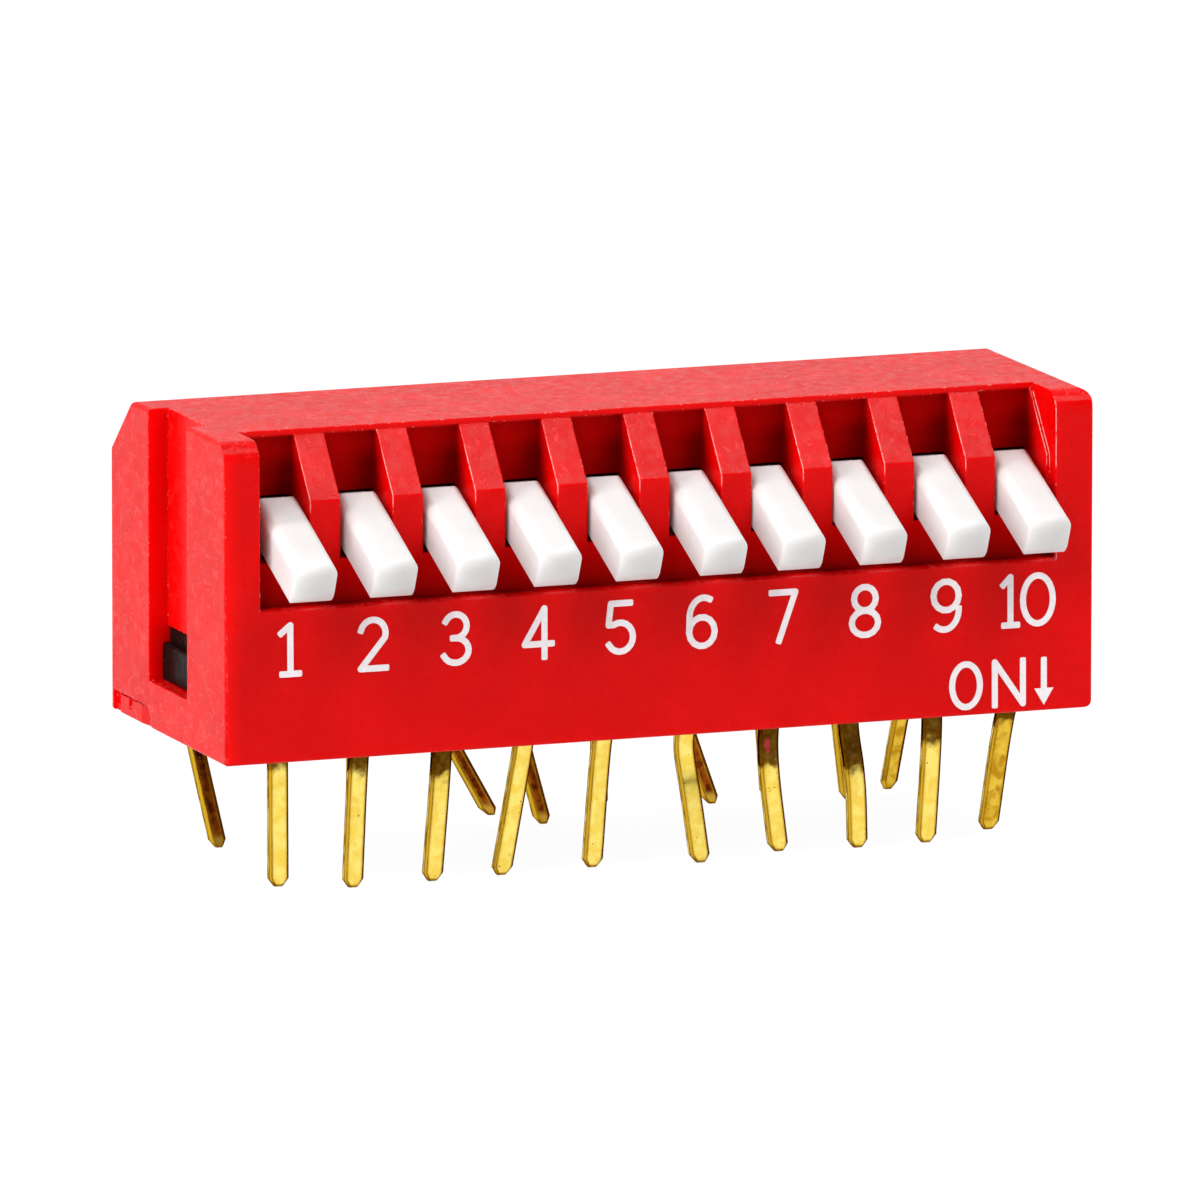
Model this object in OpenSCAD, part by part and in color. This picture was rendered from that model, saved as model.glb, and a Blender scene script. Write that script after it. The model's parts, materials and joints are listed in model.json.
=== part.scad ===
// Piano type DIP switch: a moulded cover with a row of rocking levers along one long side,
// a snapped-in base that carries two rows of terminals, and a sliding wiper under each lever.
// X runs along the row with position 1 at -X, the levers point to -Y and +Z is up.
// The origin is on the seating plane, midway between the two rows of pins.

/* [Row] */
// Number of switch positions
positions = 10; // [2:1:12]
// Spacing of the positions along the row
pitch = 2.54; // [2.4:0.01:3.2]
// Distance between the two rows of pins
row_gap = 7.62; // [7.4:0.01:8]

/* [Cover] */
// Depth of the cover at its foot
cover_d = 9.9; // [9.7:0.05:12]
// Height of the cover above the seating plane
cover_h = 9.4; // [9.1:0.05:12]
// Mould draft: how far each long face leans in between foot and top
draft = 0.1; // [0:0.01:0.2]
// Thickness of the end walls beside the levers
end_wall = 1.08; // [0.9:0.01:1.5]
// Thickness of the front and rear walls at the foot
side_wall = 0.65; // [0.4:0.01:0.75]
// Thickness of the roof over the cells
roof = 1.1; // [0.6:0.05:1.3]
// Depth of the slope along the rear top edge
slope_d = 1.83; // [0.5:0.01:2.5]
// Height of the slope along the rear top edge
slope_h = 1.68; // [0.5:0.01:2.5]
// Radius of the front top edge
brow_r = 0.6; // [0.1:0.05:0.8]
// Radius where the top meets the rear slope
crest_r = 0.35; // [0.1:0.05:0.6]
// Radius of the other moulded edges
edge_r = 0.14; // [0.05:0.01:0.25]
// Radius of the lower front edge
toe_r = 0.08; // [0.03:0.01:0.2]
// Radius of the lower rear edge
heel_r = 0.28; // [0.05:0.01:0.4]
// Extra thickness of the right end
far_wall = 0.08; // [0:0.01:0.3]
// Radius of the upper and lower edges of the right end
far_r = 0.3; // [0.05:0.01:0.4]

/* [Lever openings] */
// Width of the opening for one lever
slot_w = 1.62; // [1.5:0.01:1.8]
// Sliver of rib left against each end wall
end_lip = 0.1; // [0.05:0.01:0.3]
// Height of the ledge along the foot of the recess
ledge_z = 4.5; // [4:0.05:5]
// Distance of the rib faces in front of the pivot
rib_lead = 1.88; // [1.6:0.01:2]
// Height at which the rib faces turn into slopes
knee_z = 7.5; // [7:0.05:7.8]
// Distance of the band above the ribs in front of the pivot
band_lead = 0.5; // [0.4:0.01:0.8]
// Height of the band above the ribs
band_h = 0.17; // [0.1:0.01:0.4]
// Distance of the back of each opening in front of the pivot
back_lead = 0.2; // [0.1:0.01:0.3]
// Thickness of the wall behind each opening
lintel_t = 0.8; // [0.5:0.05:1]
// Thickness of the recessed panel below the openings
panel_t = 0.65; // [0.4:0.05:0.7]

/* [Levers] */
// Distance of the pivot from the middle of the base, towards the front
pivot_y = 2.5; // [2.4:0.01:2.6]
// Height of the pivot
pivot_z = 6.5; // [6.4:0.01:6.6]
// How far the levers point down when switched on
rest_angle = 24; // [20:0.5:26]
// Travel from on to off
travel = 30; // [10:1:30]
// Width of a lever
lever_w = 1.3; // [1:0.01:1.3]
// Thickness of a lever
lever_t = 1.27; // [1:0.01:1.3]
// Distance from the pivot to the edges of the tip, along the lever
lever_reach = 4.16; // [3.8:0.01:4.6]
// How far the nose of the tip stands out between those edges
nose = 0.3; // [0.1:0.01:0.4]
// Radius of the nose
nose_r = 0.7; // [0.3:0.05:1]
// Distance from the pivot to the heel, along the lever
heel_reach = 0.54; // [0.3:0.01:0.7]
// Height of the lever's underside over the pivot, square to the lever
lever_rise = 0.13; // [0.1:0.01:0.25]
// Radius of a lever's long upper edges
lever_edge_r = 0.28; // [0.05:0.01:0.35]
// Radius of a lever's upright corners
lever_corner_r = 0.22; // [0.05:0.01:0.3]
// Radius of a lever's lower edges
lever_foot_r = 0.1; // [0.03:0.01:0.2]
// Radius of the hub around the pivot
hub_r = 0.85; // [0.7:0.01:0.9]
// Radius of the trunnions
trunnion_r = 0.45; // [0.3:0.01:0.5]
// How far a trunnion reaches into its bearing
trunnion_grip = 0.32; // [0.2:0.01:0.4]
// Width of the arm that carries the wiper
arm_w = 0.8; // [0.6:0.01:0.85]
// Depth of the arm that carries the wiper
arm_d = 1.0; // [0.6:0.01:1.1]

/* [Contacts] */
// Radius of the contact track around the pivot
track_r = 4.0; // [3.9:0.01:4.1]
// Angle of the end of the front contact, from straight below the pivot
front_end = 19; // [15:0.5:20]
// Angle of the start of the rear contact, from straight below the pivot
rear_start = 28; // [27:0.5:31]
// Angle between the wiper's middle and each contact bead
bead_angle = 10; // [8:0.5:11]
// Radius of the contact beads
bead_r = 0.12; // [0.08:0.01:0.15]
// Thickness of the wiper strip
wiper_t = 0.12; // [0.08:0.01:0.15]
// Width of the wiper strip
wiper_w = 0.7; // [0.5:0.01:0.8]
// Height of the wiper's ears along the arm
ear_h = 0.85; // [0.4:0.05:1.2]
// Thickness of the contact strips
strip_t = 0.2; // [0.15:0.01:0.25]
// Width of the contact strips
strip_w = 0.9; // [0.7:0.01:1.1]

/* [Pins] */
// Width of a front pin
pin_w = 0.6; // [0.5:0.01:0.7]
// Width of a rear pin
rear_pin_w = 0.52; // [0.45:0.01:0.7]
// Thickness of a pin
pin_t = 0.3; // [0.2:0.01:0.3]
// Bevel along the coined edges of a front pin
pin_bevel = 0.07; // [0.03:0.01:0.12]
// Bevel along the coined edges of a rear pin
rear_pin_bevel = 0.1; // [0.03:0.01:0.12]
// Length of a pin below the seating plane
pin_l = 3.85; // [3:0.05:5]
// Length of a pin's pointed end
point_l = 0.24; // [0.1:0.01:0.5]
// Width of a pin's blunt end, as a share of its width
point_scale = 0.42; // [0.3:0.01:0.8]
// Bevel around a pin's blunt end
nip = 0.06; // [0.02:0.01:0.09]
// How far the shearing burr stands out along a pin's right rear edge
burr = 0.05; // [0.01:0.01:0.08]

/* [Base] */
// Height of the base's underside over the seating plane
base_z = 0.3; // [0.1:0.05:0.6]
// Height of the rear shelf under the contact strips
shelf_z = 3.75; // [3.6:0.01:3.8]
// Width of the chamber around one wiper
chamber_w = 1.2; // [1.1:0.01:1.3]
// Thickness of the base's wall in front of the chambers
chamber_wall = 0.35; // [0.25:0.01:0.4]

/* [Ends] */
// Width of the groove down each end
groove_w = 3.3; // [2.5:0.05:4]
// Depth of the groove down each end
groove_depth = 0.6; // [0.3:0.01:0.7]
// Height of the sill at the foot of the groove
groove_z = 1.38; // [1:0.01:1.6]
// Height of the snap window above that sill
window_h = 1.6; // [1.3:0.01:2]
// How far the snap lugs stand out of the groove's floor
lug_proud = 0.18; // [0:0.01:0.3]
// Height of the snap lugs
lug_h = 1.1; // [0.8:0.01:1.2]
// How far the window's filling above a lug lies behind the groove's floor
lug_setback = 0.05; // [0.02:0.01:0.2]
// Roof left over the groove in the right end
blind_groove = 0.8; // [0.5:0.05:2]
// Height of the gate recess at the left end's lower rear corner
gate_h = 0.62; // [0.3:0.01:1]
// Depth of the gate recess
gate_depth = 0.12; // [0.05:0.01:0.2]
// How far the trimmed gates lie behind the end face
gate_setback = 0.045; // [0.01:0.005:0.1]

/* [Clearances] */
// Gap between the cover and the base
fit_gap = 0.03; // [0.01:0.01:0.06]
// Radial gap around the trunnions
bearing_gap = 0.04; // [0.02:0.01:0.08]
// Gap between a lever's underside and its lower stop
stop_gap = 0.03; // [0.01:0.01:0.1]
// Gap between the wiper's beads and the contact track
contact_gap = 0.03; // [0.02:0.01:0.05]
// Gap between a lever's hub and the sides of its cell
hub_gap = 0.16; // [0.1:0.01:0.17]
// Side play that a lever never uses up
side_gap = 0.02; // [0.01:0.01:0.1]

/* [Hidden] */
RED = "#d81616";
WHITE = "#f4f2ef";
BLACK = "#1a1a1c";
GOLD = "#e2bd3e";

// Where each lever sits in its side play: -1 is against the left side, 1 against the right
SIDE_PLAY = [0.6, 0.05, -0.1, -0.25, -0.4, 0.05, -0.75, -0.75, -0.35, -0.5];

// How each front pin is bent below the base, as points on its centre line:
// [to the right, towards the levers, down as a share of the pin's length]
FRONT_BENDS = [
    [[0, 0, 0.08], [0.01, 0, 0.995]],
    [[-0.13, 0.12, 0.13], [-0.3, 0.16, 1.034]],
    [[-0.15, 0.2, 0.25], [-0.4, 0.2, 1.026]],
    [[-0.03, 0, 0.04], [-0.775, 0.1, 1.023]],
    [[-0.17, 0, 0.04], [-0.49, 0.1, 1.013]],
    [[-0.17, 0, 0.1], [-0.04, 0, 0.34], [0.02, 0.12, 0.47], [0.27, 0.3, 1.026]],
    [[-0.16, 0.2, 0.26], [0.21, 0.2, 0.987]],
    [[-0.12, 0, 0.04], [0.05, 0.3, 0.455], [0.1, 0.3, 0.997]],
    [[-0.05, 0.15, 0.195], [-0.245, 0.15, 1.003]],
    [[-0.18, -0.2, 0.05], [-0.57, -0.5, 0.971]],
];

// How far down each front pin the shearing burr runs, as a share of the pin's length
FRONT_BURRS = [0.92, 0.6, 0.3, 0.7, 0.6, 0.2, 0.2, 0.2, 0.9, 0.2];

// How each rear pin is bent, in the same way
REAR_BENDS = [
    [[0, 0, 0.03], [0.64, 0.8, 1.029]],
    [[0.1, 0.2, 0.26], [0.12, 0.2, 0.987]],
    [[0.06, 0.1, 0.29], [0.05, 0.1, 0.987]],
    [[0, 0, 0.13], [1.66, 0.4, 0.948]],
    [[0, 0, 0.21], [0.72, 0.5, 1.039]],
    [[0.07, 0.12, 0.29], [0.08, 0.12, 0.974]],
    [[0, 0, 0.18], [1.06, 0.2, 0.99]],
    [[0.15, 0.15, 0.31], [0.3, 0.25, 0.974]],
    [[0, 0, 0.21], [0.27, 0.3, 1.026]],
    [[-0.25, -0.05, 0.1], [-0.83, -0.2, 0.995]],
];

cover_l = (positions - 1) * pitch + slot_w + 2 * (end_lip + end_wall);
front_foot = -cover_d / 2;
front_top = front_foot + draft;
recess_l = cover_l - 2 * end_wall;
pivot = [-pivot_y, pivot_z];
rib_y = pivot[0] - rib_lead;
band_y = pivot[0] - band_lead;
band_z = cover_h - band_h;
back_y = pivot[0] - back_lead;
lintel_y = back_y + lintel_t;
lintel_z = pivot_z + hub_r + 0.1;
panel_y = rib_y + panel_t;
roof_z = cover_h - roof;
cavity_d = cover_d - 2 * side_wall;
cavity_l = cover_l - 2 * end_wall;

// Where a lever's underside crosses the plane of the rib faces at rest
rest_run = (rib_y - pivot[0] + lever_rise * sin(rest_angle)) / cos(rest_angle);
stop_z = pivot_z + rest_run * sin(rest_angle) + lever_rise * cos(rest_angle);
sill_z = stop_z - stop_gap / cos(rest_angle);
hub_w = slot_w - 2 * hub_gap;
bearing_r = trunnion_r + bearing_gap;
trunnion_l = slot_w + 2 * trunnion_grip;
bearing_l = (positions - 1) * pitch + trunnion_l + 2 * bearing_gap;
lever_top = lever_rise + lever_t;

base_l = cavity_l - 2 * fit_gap;
base_d = cavity_d - 2 * fit_gap;
web_z = ledge_z;
base_top = web_z - fit_gap;
post_w = 2 * (bearing_r - fit_gap);
post_z = pivot_z - bearing_gap;
chamber_y = -base_d / 2 + chamber_wall;
strip_z = shelf_z + strip_t;
strip_y = pivot[0] + sqrt(pow(track_r, 2) - pow(pivot_z - strip_z, 2));
bead_ring = track_r - contact_gap - bead_r;
band_r = track_r - contact_gap - bead_r / 2;
foot_r = band_r - wiper_t;
wiper_span = bead_angle + 3.5;

groove_x = cover_l / 2 - groove_depth;
lug_x = groove_x + lug_proud;
lug_z = groove_z + fit_gap;
lug_w = groove_w - 2 * fit_gap;
gate_y = groove_w / 2;

function two_digits(i) = i < 10 ? str("0", i) : str(i);
function position_x(i) = (i - (positions + 1) / 2) * pitch;

// A corner [x, y, radius] between its neighbours, as the points of its fillet
function unit(v) = v / norm(v);
function corner(a, b, c, steps = 6) =
    b[2] == 0 ? [[b[0], b[1]]] :
    let (
        p = [b[0], b[1]],
        u = unit([a[0], a[1]] - p),
        v = unit([c[0], c[1]] - p),
        half = acos(u * v) / 2,
        centre = p + unit(u + v) * b[2] / sin(half),
        start = p + u * b[2] / tan(half) - centre,
        turn = 180 - 2 * half,
        side = u[0] * v[1] - u[1] * v[0] > 0 ? -1 : 1
    )
    [for (k = [0:steps])
        let (t = side * turn * k / steps)
        centre + [start[0] * cos(t) - start[1] * sin(t), start[0] * sin(t) + start[1] * cos(t)]];
function rounded(points, steps = 6) =
    let (n = len(points))
    [for (i = [0:n - 1]) each corner(points[(i + n - 1) % n], points[i], points[(i + 1) % n], steps)];

// Cutting corners twice turns a bent line into a smooth one
function soften(path) = concat(
    [path[0]],
    [for (i = [0:len(path) - 2]) each [
        path[i] * 0.75 + path[i + 1] * 0.25,
        path[i] * 0.25 + path[i + 1] * 0.75,
    ]],
    [path[len(path) - 1]]
);

// A profile drawn in Y and Z, drawn out along X about a middle
module along_x(length, middle = 0)
    translate([middle, 0, 0])
        rotate([90, 0, 90])
            linear_extrude(length, center = true)
                children();

module at_each() for (i = [1:positions]) translate([position_x(i), 0, 0]) children();

module cover_block() {
    near = -cover_l / 2;
    far = cover_l / 2 + far_wall;
    intersection() {
        along_x(cover_l + 2 * far_wall)
            polygon(rounded([
                [front_foot, 0, toe_r],
                [front_top, cover_h, brow_r],
                [-front_top - slope_d, cover_h, crest_r],
                [-front_top, cover_h - slope_h, edge_r],
                [-front_foot, 0, heel_r],
            ]));
        linear_extrude(cover_h)
            polygon(rounded([
                [near, front_foot, edge_r],
                [far, front_foot, edge_r],
                [far, -front_foot, edge_r],
                [near, -front_foot, edge_r],
            ]));
        rotate([90, 0, 0])
            linear_extrude(cover_d, center = true)
                polygon(rounded([
                    [near, 0, toe_r],
                    [far, 0, far_r],
                    [far, cover_h, far_r],
                    [near, cover_h, edge_r],
                ]));
    }
}

// The long recess: round-edged ledge, panel, sloping rib tops and the band above them
module front_recess() {
    ledge_y = front_foot + draft * ledge_z / cover_h - 0.01;
    along_x(recess_l)
        polygon(concat(
            [[front_foot - 1, ledge_z - edge_r]],
            corner([ledge_y, 0], [ledge_y, ledge_z, edge_r], [rib_y, ledge_z]),
            [[rib_y, ledge_z]],
            corner([rib_y, ledge_z], [rib_y, knee_z, edge_r], [band_y, band_z]),
            [[band_y, band_z], [band_y, cover_h + 1], [front_foot - 1, cover_h + 1]]
        ));
}

module slot()
    along_x(slot_w)
        translate([front_foot - 1, sill_z])
            square([back_y - front_foot + 1, band_z - sill_z]);

// The pocket behind one slot, open at the foot
module cell()
    along_x(slot_w)
        polygon([
            [panel_y, web_z - 1],
            [panel_y, lintel_z],
            [lintel_y, lintel_z],
            [lintel_y, roof_z],
            [-front_top - slope_d - side_wall / 2, roof_z],
            [cavity_d / 2, roof_z - slope_h],
            [cavity_d / 2, web_z - 1],
        ]);

// Bearing for the trunnions: a slot with a round top, open at the foot
module bearing_slot()
    along_x(bearing_l) {
        translate(pivot) circle(r = bearing_r, $fn = 48);
        translate([pivot[0] - bearing_r, -1]) square([2 * bearing_r, pivot_z + 1]);
    }

// Groove down one end with the snap window at its foot, for the end at +X
module end_groove(top) {
    translate([groove_x, -groove_w / 2, groove_z])
        cube([groove_depth + 1, groove_w, top - groove_z]);
    translate([cavity_l / 2 - 1, -groove_w / 2, groove_z])
        cube([groove_depth + 2, groove_w, window_h]);
}

// Shallow recess with the trimmed moulding gate left in it, a notch down its middle
module gate_recess() {
    toe = 0.35;
    slope = 0.5;
    pad_w = 1.8;
    pad_y = gate_y + 0.25 + slope;
    notch_w = 0.3;
    notch_h = 0.3;
    lip_gap = 0.08;
    translate([-cover_l / 2, 0, 0])
        difference() {
            translate([-1, 0, 0])
                rotate([90, 0, 90])
                    linear_extrude(gate_depth + 1)
                        polygon([
                            [gate_y - toe / 2, -1],
                            [gate_y - toe / 2, gate_h / 2],
                            [gate_y + toe / 2, gate_h],
                            [-front_top - edge_r, gate_h],
                            [-front_top - edge_r, -1],
                        ]);
            difference() {
                translate([0, 0, -2])
                    linear_extrude(gate_h - lip_gap + 2)
                        polygon([
                            [gate_depth + 1, pad_y - slope],
                            [gate_depth, pad_y - slope],
                            [gate_setback, pad_y],
                            [gate_setback, pad_y + pad_w],
                            [gate_depth, pad_y + pad_w + slope / 2],
                            [gate_depth + 1, pad_y + pad_w + slope / 2],
                        ]);
                translate([-1, pad_y + pad_w / 2 - notch_w / 3, gate_h - lip_gap - notch_h])
                    cube([gate_depth + 1, notch_w, gate_h]);
            }
        }
}

module cover() {
    color(RED)
        difference() {
            cover_block();
            front_recess();
            at_each() slot();
            at_each() cell();
            translate([-cavity_l / 2, -cavity_d / 2, -1]) cube([cavity_l, cavity_d, web_z + 1]);
            bearing_slot();
            mirror([1, 0, 0]) end_groove(cover_h + 1);
            end_groove(cover_h - blind_groove);
            gate_recess();
        }
}

// Side profiles of the two contacts of one position
module front_contact_profile() {
    intersection() {
        difference() {
            translate(pivot) circle(r = track_r + strip_t, $fn = 96);
            translate(pivot) circle(r = track_r, $fn = 96);
        }
        polygon([
            pivot,
            pivot + 2 * track_r * [sin(front_end), -cos(front_end)],
            [-row_gap / 2 - pin_t / 2, pivot_z - 2 * track_r],
            [-row_gap / 2 - pin_t / 2, pivot_z - track_r / 2],
        ]);
    }
}

module rear_contact_profile() {
    difference() {
        union() {
            intersection() {
                translate(pivot) circle(r = track_r + strip_t, $fn = 96);
                polygon([
                    pivot,
                    pivot + 2 * track_r * [sin(rear_start), -cos(rear_start)],
                    [strip_y, pivot_z - 2 * track_r],
                    [strip_y, strip_z],
                    [strip_y, pivot_z],
                ]);
                translate([-cover_d, 0]) square([2 * cover_d, strip_z]);
            }
            translate([strip_y - strip_t, shelf_z])
                square([row_gap / 2 + pin_t / 2 - strip_y + strip_t, strip_t]);
        }
        translate(pivot) circle(r = track_r, $fn = 96);
    }
}

module front_shank_profile()
    difference() {
        translate([-row_gap / 2 - pin_t / 2, base_z]) square([pin_t, pivot_z - track_r]);
        translate(pivot) circle(r = track_r, $fn = 96);
    }

module rear_shank_profile()
    translate([row_gap / 2 - pin_t / 2, base_z]) square([pin_t, strip_z - base_z]);

// The snap lug stands out at the foot of its window; above it the window is just filled
module snap_lug()
    rotate([90, 0, 0])
        linear_extrude(lug_w, center = true)
            polygon(rounded([
                [base_l / 2 - 1, lug_z, 0],
                [lug_x, lug_z, 0.05],
                [lug_x, lug_z + lug_h, 0.1],
                [groove_x - lug_setback, lug_z + lug_h, 0],
                [groove_x - lug_setback, groove_z + window_h - fit_gap, 0],
                [base_l / 2 - 1, groove_z + window_h - fit_gap, 0],
            ]));

// Posts between the positions rise into the cover's slots and close the bearings
module posts()
    difference() {
        for (i = [0:positions])
            let (
                outer = i == 0 || i == positions,
                middle = position_x(i + 0.5),
                side = i == 0 ? 1 : -1,
                reach = pitch / 2 - slot_w / 2 + trunnion_grip,
                width = outer ? trunnion_grip : pitch - slot_w,
                shift = outer ? side * (pitch - slot_w - trunnion_grip) / 2 : 0
            )
            along_x(width, middle + shift)
                translate([pivot[0] - post_w / 2, shelf_z]) square([post_w, post_z - shelf_z]);
        along_x(bearing_l + 1) translate(pivot) circle(r = bearing_r, $fn = 48);
    }

module base() {
    color(BLACK) {
        difference() {
            union() {
                along_x(base_l)
                    polygon([
                        [-base_d / 2, base_z],
                        [-base_d / 2, base_top],
                        [strip_y, base_top],
                        [strip_y, shelf_z],
                        [base_d / 2, shelf_z],
                        [base_d / 2, base_z],
                    ]);
                posts();
                snap_lug();
                mirror([1, 0, 0]) snap_lug();
            }
            at_each() {
                intersection() {
                    along_x(chamber_w) translate(pivot) circle(r = track_r, $fn = 96);
                    translate([-chamber_w, chamber_y, 0]) cube([2 * chamber_w, cover_d, cover_h]);
                }
                along_x(strip_w) {
                    front_contact_profile();
                    rear_contact_profile();
                }
                along_x(pin_w) front_shank_profile();
                along_x(rear_pin_w) rear_shank_profile();
            }
        }
    }
}

// The point at one height on a line that runs downwards
function at_height(path, z) =
    let (
        k = max([for (i = [0:len(path) - 2]) if (path[i][2] >= z) i]),
        a = path[k],
        b = path[k + 1]
    )
    a + (b - a) * (a[2] - z) / (a[2] - b[2]);

// One leg: eight-sided sections stacked down a bent centre line, with a blunt point
module pin_leg(width, bevel, bends, burr_to = 0) {
    top = base_z + 0.1;
    line = concat([[0, 0, base_z]], [for (b = bends) [b[0], -b[1], -b[2] * pin_l]]);
    path = soften(soften(soften(line)));
    end = path[len(path) - 1];
    down = unit(end - path[len(path) - 2]);
    neck = end - down * point_l;
    step = -burr_to * pin_l;
    body = [for (p = path) if (p[2] > neck[2] + 0.05 && abs(p[2] - step) > 0.08) p];
    shorn = [for (p = body) if (p[2] > step) p];
    plain = [for (p = body) if (p[2] < step) p];
    ledge = burr_to > 0 ? [at_height(path, step), at_height(path, step - 0.03)] : [];
    stations = concat([[0, 0, top]], shorn, ledge, plain, [neck, end - down * nip, end]);
    last = len(stations) - 1;
    narrow = 1 - (1 - point_scale) * (1 - nip / point_l);
    w = width / 2;
    t = pin_t / 2;
    b = bevel;
    ring = [
        [-w + b, -t], [w - b, -t], [w, -t + b], [w, t - b],
        [w - b, t], [-w + b, t], [-w, t - b], [-w, -t + b],
    ];
    sides = len(ring);
    points = [for (s = [0:last]) for (k = [0:sides - 1])
        let (
            z = stations[s][2],
            x_scale = s == last ? point_scale : s == last - 1 ? narrow : 1,
            y_scale = s == last ? 1 - nip / t : 1,
            out = k == 3 && burr_to > 0 && z < base_z && z >= step - 0.001 ? burr : 0
        )
        [
            stations[s][0] + x_scale * (ring[k][0] + out),
            stations[s][1] + y_scale * (ring[k][1] + out),
            z,
        ]];
    walls = [for (s = [0:last - 1]) for (k = [0:sides - 1]) each [
        [s * sides + k, s * sides + (k + 1) % sides, (s + 1) * sides + k],
        [s * sides + (k + 1) % sides, (s + 1) * sides + (k + 1) % sides, (s + 1) * sides + k],
    ]];
    head = [[for (k = [sides - 1:-1:0]) k]];
    tip = [[for (k = [0:sides - 1]) last * sides + k]];
    polyhedron(points, concat(head, walls, tip));
}

module front_terminal(i) {
    color(GOLD)
        translate([position_x(i), 0, 0]) {
            along_x(strip_w) front_contact_profile();
            along_x(pin_w) front_shank_profile();
            translate([0, -row_gap / 2, 0])
                pin_leg(
                    pin_w,
                    pin_bevel,
                    FRONT_BENDS[(i - 1) % len(FRONT_BENDS)],
                    FRONT_BURRS[(i - 1) % len(FRONT_BURRS)]
                );
        }
}

module rear_terminal(i) {
    color(GOLD)
        translate([position_x(i), 0, 0]) {
            along_x(strip_w) rear_contact_profile();
            along_x(rear_pin_w) rear_shank_profile();
            translate([0, row_gap / 2, 0])
                pin_leg(rear_pin_w, rear_pin_bevel, REAR_BENDS[(i - 1) % len(REAR_BENDS)]);
        }
}

// The lever is drawn level, pivot at the origin, then turned down to its rest angle
module at_pivot(i)
    translate([
        position_x(i) + SIDE_PLAY[(i - 1) % len(SIDE_PLAY)] * (hub_gap - side_gap),
        pivot[0],
        pivot[1],
    ])
        rotate([rest_angle, 0, 0])
            children();

module lever_bar() {
    middle = lever_rise + lever_t / 2;
    intersection() {
        along_x(lever_w)
            polygon(rounded([
                [-lever_reach, lever_rise, lever_foot_r],
                [0, lever_rise, 0],
                [0, hub_r - 0.15, 0],
                [-heel_reach + 0.1, hub_r - 0.1, 0],
                [-heel_reach, lever_top, lever_foot_r],
                [-lever_reach, lever_top, lever_corner_r],
                [-lever_reach - nose, middle, nose_r],
            ]));
        rotate([90, 0, 0])
            linear_extrude(3 * lever_reach, center = true)
                polygon(rounded([
                    [-lever_w / 2, lever_rise, lever_foot_r],
                    [lever_w / 2, lever_rise, lever_foot_r],
                    [lever_w / 2, lever_top, lever_edge_r],
                    [-lever_w / 2, lever_top, lever_edge_r],
                ]));
        linear_extrude(2 * lever_top)
            polygon(rounded([
                [-lever_w / 2, -lever_reach - nose, lever_corner_r],
                [lever_w / 2, -lever_reach - nose, lever_corner_r],
                [lever_w / 2, -heel_reach, lever_corner_r],
                [-lever_w / 2, -heel_reach, lever_corner_r],
            ]));
    }
}

module lever(i) {
    color(WHITE)
        at_pivot(i) {
            lever_bar();
            along_x(hub_w) circle(r = hub_r, $fn = 64);
            along_x(trunnion_l) circle(r = trunnion_r, $fn = 48);
            along_x(arm_w)
                intersection() {
                    translate([-arm_d / 2, -track_r]) square([arm_d, track_r]);
                    circle(r = foot_r, $fn = 96);
                }
        }
}

module wiper(i) {
    color(GOLD)
        at_pivot(i)
            along_x(wiper_w) {
                intersection() {
                    difference() {
                        circle(r = foot_r + wiper_t, $fn = 96);
                        circle(r = foot_r, $fn = 96);
                    }
                    polygon([
                        [0, 0],
                        2 * track_r * [-sin(wiper_span), -cos(wiper_span)],
                        2 * track_r * [sin(wiper_span), -cos(wiper_span)],
                    ]);
                }
                for (side = [-1, 1])
                    translate(bead_ring * [side * sin(bead_angle), -cos(bead_angle)])
                        circle(r = bead_r, $fn = 24);
                for (side = [-1, 1])
                    translate([side * (arm_d + wiper_t) / 2, ear_h / 2 - foot_r])
                        square([wiper_t, ear_h], center = true);
            }
}

cover();
base();
for (i = [1:positions]) {
    lever(i);
    wiper(i);
    front_terminal(i);
    rear_terminal(i);
}
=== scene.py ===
"""Looks of a ten-position piano dip switch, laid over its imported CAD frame."""

import json
from math import cos, pi, radians, sin

import bmesh
import bpy
from mathutils import Matrix, Vector
from mathutils.geometry import delaunay_2d_cdt


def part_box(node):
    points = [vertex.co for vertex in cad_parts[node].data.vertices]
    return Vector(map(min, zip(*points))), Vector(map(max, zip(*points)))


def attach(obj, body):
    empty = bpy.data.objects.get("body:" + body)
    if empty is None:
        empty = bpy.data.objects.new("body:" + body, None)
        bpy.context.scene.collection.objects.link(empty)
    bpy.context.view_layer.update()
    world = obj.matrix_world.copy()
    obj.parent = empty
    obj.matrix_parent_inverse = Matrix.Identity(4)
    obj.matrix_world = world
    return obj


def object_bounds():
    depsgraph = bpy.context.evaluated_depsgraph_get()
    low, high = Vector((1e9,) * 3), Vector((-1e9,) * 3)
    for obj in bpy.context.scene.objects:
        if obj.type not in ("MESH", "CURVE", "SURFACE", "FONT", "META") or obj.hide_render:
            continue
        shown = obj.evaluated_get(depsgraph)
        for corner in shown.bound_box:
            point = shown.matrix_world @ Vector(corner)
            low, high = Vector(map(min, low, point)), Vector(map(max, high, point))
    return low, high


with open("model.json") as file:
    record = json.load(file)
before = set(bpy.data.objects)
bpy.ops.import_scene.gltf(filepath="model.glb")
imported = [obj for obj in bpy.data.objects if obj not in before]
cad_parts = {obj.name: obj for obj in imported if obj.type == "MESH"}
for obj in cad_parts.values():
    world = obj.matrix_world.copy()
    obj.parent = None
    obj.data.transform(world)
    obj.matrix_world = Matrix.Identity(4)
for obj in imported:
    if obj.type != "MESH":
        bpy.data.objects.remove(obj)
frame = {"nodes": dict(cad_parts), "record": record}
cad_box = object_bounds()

MM = 0.001
HOUSING = "housing"
nodes = frame["nodes"]
mounts = {mount["name"]: mount for mount in frame["record"]["mounts"]}
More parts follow.
